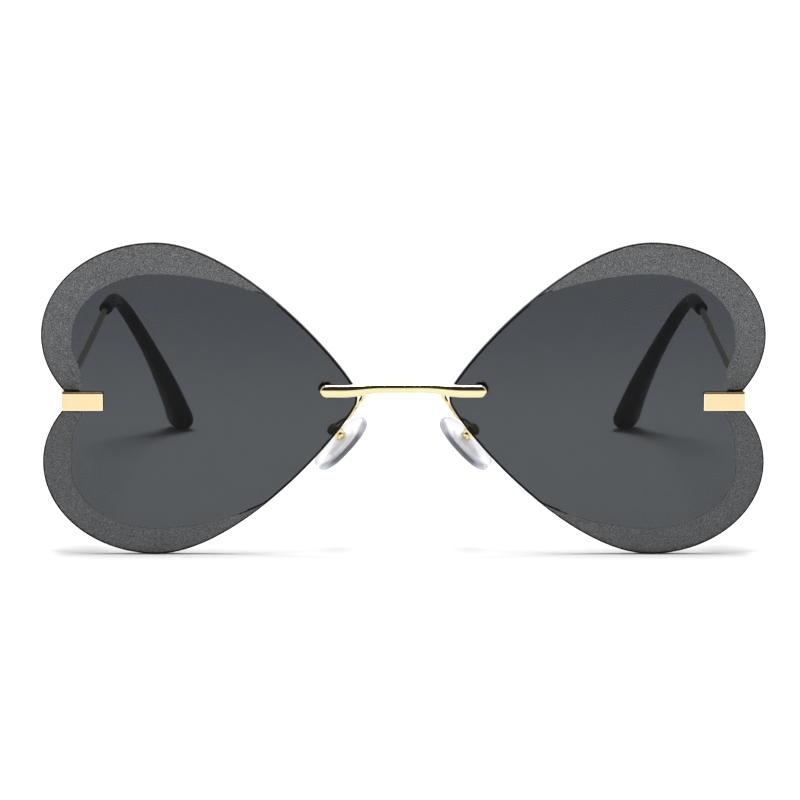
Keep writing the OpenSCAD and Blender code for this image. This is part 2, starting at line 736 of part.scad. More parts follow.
// Where a point of the bend's frame lies in the part
function turned(p, a, i, j) =
    [for (k = [0:2]) k == i ? p[i] * cos(a) - p[j] * sin(a)
        : k == j ? p[i] * sin(a) + p[j] * cos(a) : p[k]];
function on_floor_side(p) =
    let (sleeve_p = turned(turned(p, ear_cant, 2, 0) + [0, sleeve_l, 0], sleeve_turn, 0, 1))
    temple_at + turned(turned(sleeve_p + [0, temple_l - sleeve_l, 0], temple_pitch, 1, 2),
        temple_toe, 0, 1);
function lowest(tip_end) =
    min([for (k = [0:round_steps], p = tip_ring(tip_end - tip_round * k / round_steps, tip_end))
        on_floor_side(p)[2]]);
// Length of the tip that sets its end on the floor beside the lower lobes
trial_end = arc_l + lens_h / 2;
trial_fall = on_floor_side(bend_way(arc_l))[2] - on_floor_side([0, 0, 0])[2];
tip_end = trial_end - (lowest(trial_end) + lens_h / 2) / trial_fall;

// Stations along the tip: closer on the bend and at the round end
tip_stations = concat(
    [-sleeve_l, -sleeve_l + sleeve_r * lip_run_share],
    [for (k = [0:bend_steps]) arc_l * k / bend_steps],
    [for (k = [1:tip_steps]) mixed(arc_l, tip_end - tip_round, k / tip_steps)],
    [for (k = [1:round_steps]) tip_end - tip_round * (1 - sin(90 * k / round_steps))]
);
function lip(s) = s == -sleeve_l ? lip_share : 1;
function bore_ring(s, r) =
    let (d = bend_way(s), up = [0, -d[2], d[1]])
    [for (i = [0:bore_sides - 1]) let (a = 360 * (i + 0.5) / bore_sides)
        bend_point(s) + r * (up * cos(a) + [1, 0, 0] * sin(a))];
bore_r = (wire_r + side_gap) / cos(180 / bore_sides);
bore_stations = concat(
    [-sleeve_l - over],
    [for (k = [0:bend_steps]) arc_l * k / bend_steps],
    [arc_l + core_l + side_gap]
);
core_stations = concat(
    [-sleeve_l - over],
    [for (k = [0:bend_steps]) arc_l * k / bend_steps],
    [arc_l + core_l]
);

module temple_tip(way) {
    color("#232425") side(way) on_bend() difference() {
        skin([for (s = tip_stations) [for (p = tip_ring(s, tip_end))
            mixed(bend_point(s), p, lip(s))]]);
        skin([for (s = bore_stations) bore_ring(s, bore_r)]);
    }
}
module temple_tip_left() { temple_tip(-1); }
module temple_tip_right() { temple_tip(1); }

back_y = max([for (s = tip_stations, p = tip_ring(s, tip_end)) on_floor_side(p)[1]]);

lens_left();
lens_right();
bridge();
mount_studs();
lens_bushings();
mount_washers();
cap_nuts();
pad_arm_left();
pad_arm_right();
pad_box_left();
pad_box_right();
pad_core_left();
pad_core_right();
nose_pad_left();
nose_pad_right();
pad_screws();
end_piece_left();
end_piece_right();
front_hinge_left();
front_hinge_right();
hinge_screws();
temple_hinge_left();
temple_hinge_right();
temple_wire_left();
temple_wire_right();
temple_tip_left();
temple_tip_right();
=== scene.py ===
"""Rimless sunglasses with sideways heart lenses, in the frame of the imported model.

Lengths of the glasses are written in millimetres, from the middle of the lens fronts.
"""

from math import cos, pi, radians, sin, sqrt

import bmesh
import bpy
from mathutils import Matrix, Vector


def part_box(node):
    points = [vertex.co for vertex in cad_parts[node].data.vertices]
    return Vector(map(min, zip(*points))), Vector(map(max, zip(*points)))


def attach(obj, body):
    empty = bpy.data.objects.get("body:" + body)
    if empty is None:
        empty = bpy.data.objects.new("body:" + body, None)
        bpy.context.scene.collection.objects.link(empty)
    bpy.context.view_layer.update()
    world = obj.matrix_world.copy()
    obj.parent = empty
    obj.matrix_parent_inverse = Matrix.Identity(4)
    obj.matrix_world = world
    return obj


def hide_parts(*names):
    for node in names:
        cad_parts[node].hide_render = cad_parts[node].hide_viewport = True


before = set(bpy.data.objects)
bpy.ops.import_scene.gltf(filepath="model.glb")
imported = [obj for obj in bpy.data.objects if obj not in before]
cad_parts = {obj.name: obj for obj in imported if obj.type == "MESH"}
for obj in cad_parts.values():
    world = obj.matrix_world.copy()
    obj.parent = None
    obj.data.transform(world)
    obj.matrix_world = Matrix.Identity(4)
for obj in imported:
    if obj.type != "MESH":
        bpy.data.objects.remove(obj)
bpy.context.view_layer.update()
scene = bpy.context.scene

MM = 0.001
SIDES = {"left": -1, "right": 1}
lens_low, lens_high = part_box("lens_right")
ORIGIN = Vector((0, lens_low.y, (lens_low.z + lens_high.z) / 2))
LENS_T = (lens_high.y - lens_low.y) / MM
LENS_H = (lens_high.z - lens_low.z) / MM

# Turns in degrees: faces that count as one flat, and edges that are rolled over
FLAT_TURN, ROLLED_TURN = 0.6, 34


# ---------------------------------------------------------------- small helpers
def in_row(points):
    """Points in millimetres from the middle of the lens fronts, as places in the row."""
    return [ORIGIN + Vector(point) * MM for point in points]


def mixed(a, b, t):
    return a + (b - a) * t


def clamped(t):
    return max(0.0, min(1.0, t))


def eased(t):
    t = clamped(t)
    return t * t * (3 - 2 * t)


def full_turn(steps):
    """Angles all the way round, in radians."""
    return [2 * pi * i / steps for i in range(steps)]


def signed_power(value, power):
    """A power that keeps its sign: below one it draws a circle out towards a square."""
    return (1 if value >= 0 else -1) * abs(value) ** power


def catmull(p, t):
    """The point at t on the curve through p[1] and p[2], with p[0] and p[3] beside them."""
    a, b, c, d = p
    return b + ((c - a) * t + (a * 2 - b * 5 + c * 4 - d) * t * t
                + (b * 3 - a - c * 3 + d) * t ** 3) / 2


def next_ring(bm, ring):
    """Extrudes a ring of vertices and gives the new ring in the same order."""
    around = set(ring)
    edges = {edge for vert in ring for edge in vert.link_edges
             if len(edge.link_faces) < 2 and edge.other_vert(vert) in around}
    made = bmesh.ops.extrude_edge_only(bm, edges=list(edges))["geom"]
    new = {item for item in made if isinstance(item, bmesh.types.BMVert)}
    return [next(edge.other_vert(vert) for edge in vert.link_edges
                 if edge.other_vert(vert) in new) for vert in ring]


def loft(rings):
    """A closed skin: a circle is extruded once for each ring and each ring is set in place."""
    bm = bmesh.new()
    verts = bmesh.ops.create_circle(bm, segments=len(rings[0]), radius=MM)["verts"]
    for number, ring in enumerate(rings):
        if number:
            verts = next_ring(bm, verts)
        for vert, place in zip(verts, in_row(ring)):
            vert.co = place
    bmesh.ops.holes_fill(bm, edges=[edge for edge in bm.edges if edge.is_boundary], sides=0)
    bmesh.ops.recalc_face_normals(bm, faces=bm.faces)
    return bm


def shade(bm, sharp_degrees):
    """Smooth faces, with an edge left sharp where its faces turn more than that."""
    for face in bm.faces:
        face.smooth = True
    for edge in bm.edges:
        edge.smooth = not (edge.is_manifold
                           and edge.calc_face_angle() > radians(sharp_degrees))


def make_piece(bm, name, body, slot, materials, *nodes):
    """A piece of a body with its materials, shown in place of the CAD nodes named; the slot
    argument is not used.
    """
    mesh = bpy.data.meshes.new(name)
    bm.to_mesh(mesh)
    bm.free()
    for material in materials:
        mesh.materials.append(material)
    piece = bpy.data.objects.new(name, mesh)
    scene.collection.objects.link(piece)
    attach(piece, body)
    if nodes:
        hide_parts(*nodes)
    return piece


def merged(node):
    """A copy of a CAD node with its doubled points merged."""
    bm = bmesh.new()
    bm.from_mesh(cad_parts[node].data)
    bmesh.ops.remove_doubles(bm, verts=bm.verts, dist=MM / 2000)
    return bm


def copied(node):
    """A merged copy of a CAD node, with its flat faces whole again."""
    bm = merged(node)
    bmesh.ops.dissolve_limit(bm, angle_limit=radians(FLAT_TURN), verts=bm.verts, edges=bm.edges)
    return bm


def ease_edges(piece, width):
    """Rolls the edges of a machined piece over by a width in millimetres."""
    bevel = piece.modifiers.new("rolled_edge", "BEVEL")
    bevel.width = width * MM
    bevel.segments = 3
    bevel.limit_method = "ANGLE"
    bevel.angle_limit = radians(ROLLED_TURN)
    bevel.use_clamp_overlap = True
    bevel.harden_normals = True
    return piece


PAD = Vector((13, 9.5, -11))
PAD_SPLAY, PAD_TURN = 44, 30
PAD_L, PAD_W, PAD_T = 14.6, 6.8, 2.4


def on_pad():
    """The frame of a nose pad: x points away from the nose, y back and z up the pad."""
    return (Matrix.Translation(PAD) @ Matrix.Rotation(radians(-PAD_SPLAY), 4, "Y")
            @ Matrix.Rotation(radians(-PAD_TURN), 4, "Z"))


# ---------------------------------------------------------------- materials
def group_tree(name, inputs, outputs):
    """A node group with named number inputs, and outputs that are numbers or colours."""
    tree = bpy.data.node_groups.new(name, "ShaderNodeTree")
    for label, value in inputs.items():
        socket = tree.interface.new_socket(label, in_out="INPUT", socket_type="NodeSocketFloat")
        socket.default_value = value
    for label, kind in outputs.items():
        tree.interface.new_socket(label, in_out="OUTPUT", socket_type="NodeSocket" + kind)
    return tree, tree.nodes.new("NodeGroupInput"), tree.nodes.new("NodeGroupOutput")


def add_node(tree, kind, settings=None, **inputs):
    """A shader node with its settings and its socket values or links.

    An input is named by its label, or by i and its number.
    """
    made = tree.nodes.new("ShaderNode" + kind)
    for key, value in (settings or {}).items():
        setattr(made, key, value)
    for key, value in inputs.items():
        label = key.replace("_", " ")
        socket = made.inputs[int(key[1:])] if key[0] == "i" and key[1:].isdigit() \
            else made.inputs[label]
        if isinstance(value, bpy.types.NodeSocket):
            tree.links.new(value, socket)
        else:
            socket.default_value = value
    return made


def remap(tree, value, from_low, from_high, to_low, to_high):
    """A value eased from one range to another."""
    return add_node(tree, "MapRange", {"interpolation_type": "SMOOTHSTEP"}, Value=value,
                    From_Min=from_low, From_Max=from_high, To_Min=to_low, To_Max=to_high
                    ).outputs["Result"]


def blend(tree, factor, a, b):
    """A colour between a and b."""
    return add_node(tree, "Mix", {"data_type": "RGBA"}, i0=factor, i6=a, i7=b).outputs[2]


def calc(tree, operation, a, b=0.0):
    return add_node(tree, "Math", {"operation": operation}, i0=a, i1=b).outputs[0]


def object_place(tree):
    """The place on the piece, which moves with it."""
    return add_node(tree, "TexCoord").outputs["Object"]


def split(tree, vector):
    return add_node(tree, "SeparateXYZ", Vector=vector).outputs


def polish_group():
    """Hairline rubbing marks and soft uneven plating for polished metal and plastic."""
    tree, given, result = group_tree(
        "polish", {"Mark Scale": 900, "Cloud Scale": 120},
        {"Marks": "Float", "Clouds": "Float"})
    place = object_place(tree)
    stretch = add_node(tree, "Mapping", i3=(0.12, 1, 1), Vector=place).outputs[0]
    marks = add_node(tree, "TexNoise", Vector=stretch, Scale=given.outputs["Mark Scale"],
                     Detail=4, Roughness=0.7).outputs[0]
    clouds = add_node(tree, "TexNoise", Vector=place, Scale=given.outputs["Cloud Scale"],
                      Detail=2).outputs[0]
    tree.links.new(remap(tree, marks, 0.35, 0.7, 0, 1), result.inputs["Marks"])
    tree.links.new(remap(tree, clouds, 0.3, 0.7, 0, 1), result.inputs["Clouds"])
    return tree


def grain_group():
    """Ground grain: fine bright specks in a darker matt ground."""
    tree, given, result = group_tree(
        "ground_grain", {"Grain Scale": 5200}, {"Specks": "Float", "Height": "Float"})
    place = object_place(tree)
    fine = add_node(tree, "TexNoise", Vector=place, Scale=given.outputs["Grain Scale"],
                    Detail=3, Roughness=0.75).outputs[0]
    tree.links.new(remap(tree, fine, 0.44, 0.66, 0, 1), result.inputs["Specks"])
    tree.links.new(fine, result.inputs["Height"])
    return tree


POLISH = polish_group()
GRAIN = grain_group()


def new_material(name, **sockets):
    """A material with its own Principled shader and plain values on its sockets."""
    material = bpy.data.materials.new(name)
    material.use_nodes = True
    shader = material.node_tree.nodes["Principled BSDF"]
    for key, value in sockets.items():
        shader.inputs[key.replace("_", " ")].default_value = value
    return material, material.node_tree, shader


def polished(name, light, dark, rough, rub, **sockets):
    """Polished metal or plastic with rubbing marks in its gloss and a faint change of tone."""
    material, tree, shader = new_material(name, **sockets)
    worn = add_node(tree, "Group", {"node_tree": POLISH})
    tree.links.new(blend(tree, worn.outputs["Clouds"], light, dark),
                   shader.inputs["Base Color"])
    gloss = remap(tree, worn.outputs["Marks"], 0, 1, rough, rough + rub)
    tree.links.new(gloss, shader.inputs["Roughness"])
    bump = add_node(tree, "Bump", Height=worn.outputs["Marks"], Strength=0.04,
                    Distance=MM / 100)
    tree.links.new(bump.outputs[0], shader.inputs["Normal"])
    return material


def plate_metal():
    """The plate's gold, with a painted highlight along its rim and painted shade along its front
    edges at the top, foot and nose side.
    """
    # Colours of the painted highlight on the rim and of the painted shade on the front edges
    painted_rim_highlight, painted_edge_shade = (0.9, 0.8, 0.56, 1), (0.06, 0.035, 0.02, 1)
    material = polished("plate_gold", (0.71, 0.58, 0.355, 1), (0.69, 0.56, 0.34, 1), 0.12, 0.06,
                        Metallic=1)
    tree = material.node_tree
    shader = tree.nodes["Principled BSDF"]
    gold = shader.inputs["Base Color"].links[0].from_socket
    turn = split(tree, add_node(tree, "NewGeometry").outputs["Normal"])
    place = split(tree, object_place(tree))
    way_out = calc(tree, "SIGN", place["X"])
    turned_in = remap(tree, calc(tree, "MULTIPLY", way_out, turn["X"]), 0, -1, 0, 1)
    turned = calc(tree, "MAXIMUM", turned_in, calc(tree, "ABSOLUTE", turn["Z"]))
    in_front = remap(tree, place["Y"], ORIGIN.y, ORIGIN.y - 0.1 * MM, 0, 1)
    # Painted highlight: the gold turns pale where the rolled rim turns away from the front
    gold_with_painted_rim_highlight = blend(tree, remap(tree, turned, 0.03, 0.15, 0, 1), gold, painted_rim_highlight)
    # Painted shade: a dark line on the front edges at the top, foot and nose side
    edge = calc(tree, "MULTIPLY", in_front, remap(tree, turned, 0.35, 0.5, 0, 1))
    tree.links.new(blend(tree, edge, gold_with_painted_rim_highlight, painted_edge_shade), shader.inputs["Base Color"])
    return material


def height_tint(tree, low_tint, high_tint):
    """A tint that runs from one colour at the foot of the lens to another at its top."""
    height = split(tree, object_place(tree))["Z"]
    risen = remap(tree, height, LENS_H * MM * 0.4, LENS_H * MM * 0.85, 0, 1)
    return blend(tree, risen, low_tint, high_tint)


def lens_glass():
    """Clear grey glass, darker towards the top of the lens."""
    material, tree, shader = new_material(
        "tinted_lens", Transmission_Weight=1, Roughness=0.0, IOR=1.17)
    tint = height_tint(tree, (0.063, 0.0685, 0.0745, 1), (0.0435, 0.048, 0.054, 1))
    tree.links.new(tint, shader.inputs["Base Color"])
    return material


def frosted_glass():
    """The ground bevel: grainy glass that is paler towards the top of the lens."""
    material, tree, shader = new_material(
        "frosted_bevel", Transmission_Weight=0.55, IOR=1.25)
    grain = add_node(tree, "Group", {"node_tree": GRAIN})
    ground = height_tint(tree, (0.04, 0.041, 0.043, 1), (0.05, 0.052, 0.055, 1))
    speck = height_tint(tree, (0.23, 0.233, 0.238, 1), (0.46, 0.465, 0.47, 1))
    tint = blend(tree, grain.outputs["Specks"], ground, speck)
    tree.links.new(tint, shader.inputs["Base Color"])
    tree.links.new(remap(tree, grain.outputs["Specks"], 0, 1, 0.5, 0.32),
                   shader.inputs["Roughness"])
    bump = add_node(tree, "Bump", Height=grain.outputs["Height"], Strength=0.5,
                    Distance=MM / 20)
    tree.links.new(bump.outputs[0], shader.inputs["Normal"])
    return material


def shaded_lens_edge():
    """The finely ground edge of a lens, painted nearly black: painted shade in place of the dark
    line that refraction draws along it.
    """
    material, tree, shader = new_material("shaded_lens_edge", Specular_IOR_Level=0.04)
    grain = add_node(tree, "Group", {"node_tree": GRAIN})
    tree.links.new(blend(tree, grain.outputs["Specks"], (0.004, 0.004, 0.005, 1),
                         (0.012, 0.012, 0.013, 1)), shader.inputs["Base Color"])
    tree.links.new(remap(tree, grain.outputs["Specks"], 0, 1, 0.35, 0.2),
                   shader.inputs["Roughness"])
    return material


def clear_plastic(name, tint, haze, **sockets):
    """Clear plastic with faint clouding in its gloss."""
    material, tree, shader = new_material(name, **sockets)
    worn = add_node(tree, "Group", {"node_tree": POLISH})
    cloudy = tuple(0.94 * part for part in tint[:3]) + (1,)
    tree.links.new(blend(tree, worn.outputs["Clouds"], tint, cloudy),
                   shader.inputs["Base Color"])
    tree.links.new(remap(tree, worn.outputs["Marks"], 0, 1, haze, haze + 0.05),
                   shader.inputs["Roughness"])
    return material


def silicone():
    """Milky silicone, with painted shade that greys it towards its outline and a painted dark
    reflection in blue-grey along its near rim.
    """
    material, tree, shader = new_material("silicone", Transmission_Weight=0.45, IOR=1.41)
    half_w, half_l = PAD_W / 2 * MM, PAD_L / 2 * MM

    def within(value, middle, reach, fade):
        """One while a length is within reach of a middle, falling to nought over a fade."""
        off = calc(tree, "ABSOLUTE", calc(tree, "SUBTRACT", value, middle * MM))
        return remap(tree, off, reach * MM, (reach + fade) * MM, 1, 0)

    def share_squared(value, whole):
        share = calc(tree, "ABSOLUTE", calc(tree, "DIVIDE", value, whole))
        return calc(tree, "POWER", share, 2)

    part = split(tree, object_place(tree))
    one_side = add_node(tree, "CombineXYZ", X=calc(tree, "ABSOLUTE", part["X"]), Y=part["Y"],
                        Z=part["Z"]).outputs[0]
    on_one = add_node(tree, "Mapping", {"vector_type": "TEXTURE"}, Vector=one_side,
                      Location=in_row([PAD])[0], Rotation=on_pad().to_euler()).outputs[0]
    out, back, up = split(tree, on_one)
    # Painted shade: the milk greys towards the pad's outline
    to_outline = calc(tree, "ADD", share_squared(back, half_w), share_squared(up, half_l))
    outline = remap(tree, to_outline, 0.72, 1.0, 0, 1)
    # Painted reflection: a dark blue-grey stripe along the pad's near rim
    near = remap(tree, back, -0.5 * half_w, -0.75 * half_w, 0, 1)
    rim = calc(tree, "MULTIPLY", calc(tree, "MULTIPLY", near, within(out, 0.1, 0.5, 0.3)),
               within(up, 0.1, 3.2, 2.8))
    worn = add_node(tree, "Group", {"node_tree": POLISH})
    milk = blend(tree, worn.outputs["Clouds"], (0.92, 0.92, 0.94, 1), (0.86, 0.86, 0.9, 1))
    soft = blend(tree, outline, milk, (0.5, 0.51, 0.55, 1))
    tree.links.new(blend(tree, rim, soft, (0.09, 0.095, 0.125, 1)), shader.inputs["Base Color"])
    tree.links.new(remap(tree, worn.outputs["Marks"], 0, 1, 0.12, 0.2),
                   shader.inputs["Roughness"])
    return material


GLASS = lens_glass()
FROST = frosted_glass()
# Nearly black edge material: painted shade along the lens's walls and the dark lines at its
# borders
EDGE_SHADE = shaded_lens_edge()
BAR_GOLD = polished("bar_gold", (0.7, 0.65, 0.4, 1), (0.68, 0.62, 0.37, 1), 0.1, 0.06,
                    Metallic=1)
PLATE_GOLD = plate_metal()
WIRE_GOLD = polished("wire_gold", (0.74, 0.64, 0.38, 1), (0.7, 0.58, 0.33, 1), 0.14, 0.08,
                     Metallic=1)
# The boss's gold is painted almost black: painted shade for the dark reflection it shows behind
# the lens
SHADED_BOSS_GOLD = polished("shaded_boss_gold", (0.14, 0.12, 0.08, 1), (0.1, 0.085, 0.055, 1), 0.12, 0.08,
                     Metallic=1)
# The temple wires' gold is painted darker than the other gold: painted shade for the darker
# reflections along the wires
SHADED_WIRE_GOLD = polished("shaded_wire_gold", (0.36, 0.31, 0.19, 1), (0.3, 0.25, 0.15, 1), 0.12, 0.08,
                     Metallic=1)
BLACK = polished("black_tip", (0.016, 0.016, 0.017, 1), (0.02, 0.02, 0.021, 1), 0.24, 0.1,
                 Coat_Weight=0.12, Coat_Roughness=0.1, Specular_IOR_Level=0.3)
SILICONE = silicone()
CLEAR = clear_plastic("clear_core", (0.93, 0.94, 0.93, 1), 0.03,
                     Transmission_Weight=1, IOR=1.49)


# ---------------------------------------------------------------- lenses
# Faces of the edge class take the nearly black edge material, which is painted shade
CLEAR_FACE, FROST_FACE, SHADED_EDGE_FACE = range(3)
# The band's inner edge stands further in above the cleft and further out below it
BAND_IN, BAND_OUT = 1.25, 0.8
# A face is ground while its normal's y is below LOBE_LEAN, or below NOSE_LEAN up to NOSE_END
NOSE_END, LOBE_LEAN, NOSE_LEAN = 26.5, -0.5, -0.9
# The y of a normal above which a face is a wall, not part of the front
WALL_LEAN = -0.9
# Widths of the two painted dark lines of shade inside the band's borders and of the one inside the
# front's rim
THIN_LINE, BROAD_LINE, RIM_LINE = 0.05, 0.2, 0.2
# The faces of a line are at the band's inner border while they are less deep than this
INNER_DEPTH = 0.04
HEART_MIDDLE = 42


def from_middle(place):
    """A place in the row, in millimetres from the middle of the lens fronts."""
    return (place - ORIGIN) / MM


def band_shift(x, z):
    """How far in the inner edge of the ground band moves at a place, all in millimetres.

    It moves in above the cleft and out below it, less and less towards the nose.
    """
    if z > 0:
        return BAND_IN * eased((z - 3) / 3) * eased((11.8 - z) / 5) * eased((x - 50) / 12)
    return -BAND_OUT * eased((-9 - z) / 9) * eased((x - 22) / 20)


def move_band(rims, way):
    """Moves the inner edge of the ground band in the plane of the front, square to itself."""
    middle = in_row([(way * HEART_MIDDLE, 0, 0)])[0]
    moves = {}
    for vert in {vert for line in rims for vert in line.verts}:
        place = from_middle(vert.co)
        shift = band_shift(way * place.x, place.z)
        if abs(shift) < 0.001:
            continue
        before, after = [line.other_vert(vert).co for line in vert.link_edges if line in rims]
        along = (after - before).normalized()
        inward = Vector((-along.z, 0, along.x))
        if inward.dot(middle - vert.co) < 0:
            inward = -inward
        moves[vert] = inward * shift * MM
    for vert, move in moves.items():
        vert.co += move


def lens_face_kind(face):
    """Tells the flat faces, the ground bevel and the edge of a lens apart by their lean."""
    lean = face.normal.y
    middle = from_middle(face.calc_center_median())
    if abs(lean) > 0.99999:
        return CLEAR_FACE
    ground_lean = LOBE_LEAN if abs(middle.x) > NOSE_END else NOSE_LEAN
    if lean < ground_lean and middle.y < LENS_T / 2:
        return FROST_FACE
    return SHADED_EDGE_FACE


def relay_front(bm, way):
    """Takes the flat front out, moves the band's inner edge and lays the front anew."""
    flat = [face for face in bm.faces if face.material_index == CLEAR_FACE
            and abs(from_middle(face.calc_center_median()).y) < 0.001]
    bmesh.ops.delete(bm, geom=flat, context="FACES")
    rims = [line for line in bm.edges if line.is_boundary]
    move_band(set(rims), way)
    laid = bmesh.ops.triangle_fill(bm, use_beauty=True, edges=rims, normal=(0, -1, 0))
    front = [face for face in laid["geom"] if isinstance(face, bmesh.types.BMFace)]
    bm.normal_update()
    for face in front:
        face.material_index = CLEAR_FACE
        if face.normal.y > 0:
            face.normal_flip()
    return front


def outline_band(bm):
    """Paints dark lines of shade on the band along its outer border, and a thin one along its
    inner border below the middle.
    """
    ground = [face for face in bm.faces if face.material_index == FROST_FACE]
    for width, kind_below in ((THIN_LINE, SHADED_EDGE_FACE), (BROAD_LINE, FROST_FACE)):
        rim = bmesh.ops.inset_region(bm, faces=ground, thickness=width * MM,
                                     use_even_offset=True)
        for face in rim["faces"]:
            middle = from_middle(face.calc_center_median())
            if middle.y >= INNER_DEPTH:
                face.material_index = SHADED_EDGE_FACE
            else:
                face.material_index = kind_below if middle.z < -1 else FROST_FACE


def outline_front(bm, front):
    """Paints a dark line of shade on the rim of the flat front where it meets a wall of the lens.
    """
    rim = bmesh.ops.inset_region(bm, faces=front, thickness=RIM_LINE * MM, use_even_offset=True)
    for face in rim["faces"]:
        at_wall = any(other.material_index == SHADED_EDGE_FACE and other.normal.y > WALL_LEAN
                      for line in face.edges for other in line.link_faces)
        face.material_index = SHADED_EDGE_FACE if at_wall else CLEAR_FACE


def make_lens(side):
    """A lens with its clear faces, its ground bevel and its edge, painted dark as shade, told
    apart.
    """
    bm = merged("lens_" + side)
    for face in bm.faces:
        face.material_index = lens_face_kind(face)
    front = relay_front(bm, SIDES[side])
    outline_band(bm)
    outline_front(bm, front)
    shade(bm, 30)
    for line in bm.edges:
        if len({face.material_index for face in line.link_faces}) > 1:
            line.smooth = False
    make_piece(bm, side + "_lens", "root", "tinted_lens", [GLASS, FROST, EDGE_SHADE],
               "lens_" + side)


# ---------------------------------------------------------------- bridge bar
BAR_L, BAR_D, BAR_END_H, BAR_MID_H = 34.7, 1.9, 2.8, 2
BAR_Z, BAR_ARCH = 2, 0.7
# The bar thickens over this share of its length, from this share out of its middle
SWELL_FROM, SWELL_OVER = 0.12, 0.25
# Roundness of the section in front and behind: 1 is an ellipse and 0 a square
FRONT_ROUND, BACK_ROUND = (0.85, 0.95), (0.45, 0.6)
# What is left of the section at the bar's very end: of its depth squared and of its height
BLUNT_DEPTH, BLUNT_HEIGHT = 0.4, 0.2
BAR_SIDES, BAR_RINGS = 64, 90
LUG_W, LUG_H, LUG_IN = 1.8, 1.6, 7.64


def bar_ring(x):
    """A softened square section that thickens towards the ends and is blunt there."""
    left = BAR_L / 2 - abs(x)
    swell = eased((abs(x) / BAR_L - SWELL_FROM) / SWELL_OVER)
    end_r = BAR_END_H / 2
    cap = 1 if left >= end_r else sqrt(max(0, 1 - (1 - left / end_r) ** 2))
    depth = BAR_D * sqrt(mixed(BLUNT_DEPTH, 1, cap * cap))
    height = mixed(BAR_MID_H, BAR_END_H, swell) * max(cap, BLUNT_HEIGHT)
    z = BAR_Z + BAR_ARCH * (1 - swell)
    ring = []
    for i in range(BAR_SIDES):
        turn = 2 * pi * (i + 0.5) / BAR_SIDES
        deep, high = FRONT_ROUND if cos(turn) < 0 else BACK_ROUND
        ring.append((x, -depth / 2 + depth / 2 * signed_power(cos(turn), deep),
                     z + height / 2 * signed_power(sin(turn), high)))
    return ring


def make_bridge():
    stations = [BAR_L / 2 * sin(pi * i / BAR_RINGS - pi / 2) for i in range(BAR_RINGS + 1)]
    bm = loft([bar_ring(x) for x in stations])
    shade(bm, 40)
    make_piece(bm, "bridge_bar", "root", "gold", [BAR_GOLD], "bridge")
    for side, way in SIDES.items():
        lug = bmesh.new()
        middle = in_row([(way * (LUG_IN + LUG_W / 2), LENS_T / 2 - BAR_D / 4, BAR_Z)])[0]
        size = Vector((LUG_W, LENS_T + BAR_D / 2, LUG_H)) * MM
        bmesh.ops.create_cube(lug, matrix=Matrix.LocRotScale(middle, None, size))
        shade(lug, 30)
        ease_edges(make_piece(lug, "bridge_lug_" + side, "root", "gold", [WIRE_GOLD]), 0.2)


# ---------------------------------------------------------------- pad arms and pads
BOX_UP, BOX_BACK = 1.3, 3.58
BOSS_R, BOSS_L, BOSS_ROUND, BOSS_GAP = 1.35, 1.1, 0.33, 0.02
BOSS_SIDES, BOSS_STEPS, PAD_SIDES = 48, 5, 32
# Share by which a pad narrows upwards and widens downwards
PAD_EGG = 0.1
ARM_R, ARM_SIDES, ARM_STEPS = 0.5, 20, 10
ARM_START = Vector((8.18, 0.95, 1.2))
# Shares of the way from an arm's start to its end at which it bends, along x, y and z
ARM_SHARES = ((0, 0, 0), (0.07, 0.1, 0.14), (0.32, 0.62, 0.45), (0.5, 0.88, 0.68),
              (0.78, 0.97, 0.81), (1, 1, 1))
# Inset of each ring of a pad and its place along x, as shares of the pad's thickness
PAD_RINGS = ((0.9, -0.5), (0.5, -0.5), (0.28, -0.43), (0.1, -0.28), (0, -0.05), (0.03, 0.2),
             (0.13, 0.4), (0.26, 0.5), (0.7, 0.52))


def swept(path, ways, radius, sides):
    """Round rings along a path, each square to its way. No path runs along the aside way."""
    aside = Vector((0, 1, 0.3))
    rings = []
    for point, way in zip(path, ways):
        across = way.cross(aside).normalized()
        over = way.cross(across).normalized()
        rings.append([point + radius * (across * cos(a) + over * sin(a))
                      for a in full_turn(sides)])
    return rings


def flipped(rings, way):
    """Rings for the right side as they are, way 1, or mirrored for the left one, way -1."""
    return [[(way * point[0], point[1], point[2]) for point in ring] for ring in rings]


def arm_rings():
    """The bent wire from its seat behind the lens down to the boss of the pad box."""
    end = on_pad() @ Vector((BOX_BACK + BOSS_L / 2, 0, BOX_UP))
    knots = [Vector([mixed(ARM_START[k], end[k], share[k]) for k in range(3)])
             for share in ARM_SHARES]
    knots = [ARM_START + Vector((0, 0, 2 * ARM_R)), *knots, 2 * end - knots[-2]]
    path = [catmull(knots[i:i + 4], k / ARM_STEPS)
            for i in range(len(knots) - 3) for k in range(ARM_STEPS)] + [end]
    ways = [(b - a).normalized() for a, b in zip(path, [*path[2:], end, end])]
    ways = [Vector((0, 0, -1)), *ways[:-2], (end - path[-2]).normalized()]
    return swept(path, ways, ARM_R, ARM_SIDES)


def boss_rings():
    """The round boss between the arm and the pad box, with rounded rims."""
    turns = [pi / 2 * k / BOSS_STEPS for k in range(BOSS_STEPS + 1)]
    edge = [(BOSS_R - BOSS_ROUND * (1 - sin(a)), BOSS_ROUND * (1 - cos(a))) for a in turns]
    profile = edge + [(r, BOSS_L - x) for r, x in reversed(edge)]
    return [[on_pad() @ Vector((BOX_BACK + BOSS_GAP + x, r * cos(a), BOX_UP + r * sin(a)))
             for a in full_turn(BOSS_SIDES)] for r, x in profile]


